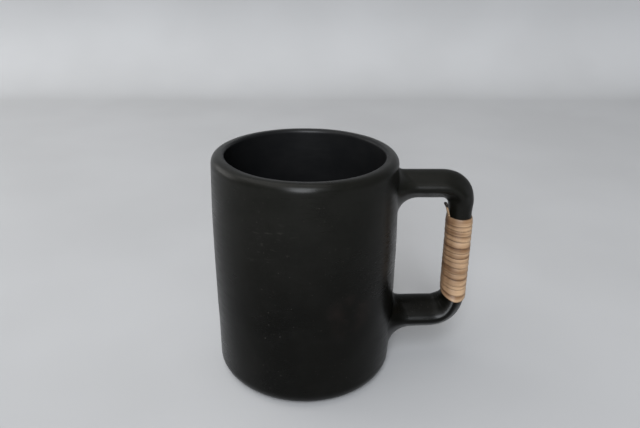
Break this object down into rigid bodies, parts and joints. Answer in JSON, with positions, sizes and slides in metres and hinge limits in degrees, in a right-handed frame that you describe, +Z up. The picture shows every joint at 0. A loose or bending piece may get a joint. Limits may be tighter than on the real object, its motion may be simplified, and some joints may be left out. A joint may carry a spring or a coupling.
{
  "type": "mug",
  "caption": "Straight-sided black clay mug with a thick rounded rim and a squared side handle whose grip is bound with split cane.",
  "frame": {"origin": "centre of the face the mug stands on, on the cup's axis", "axes": "+Z up along the cup's axis out of the mouth, +X from the axis towards the handle, +Y completes the right-handed frame"},
  "size_m": [0.1176, 0.0826, 0.105],
  "materials": {
    "burnished_clay": "satin burnished, smoked black through",
    "split_cane": "natural split cane, dry satin skin"
  },
  "bodies": {
    "root": {"floor_slab": "burnished_clay", "cup_wall": "burnished_clay", "corner_coil": "burnished_clay", "clay_handle": "burnished_clay", "upper_lute_coil": "burnished_clay", "lower_lute_coil": "burnished_clay", "binding_strip": "split_cane", "lock_strip": "split_cane"}
  },
  "joints": []
}
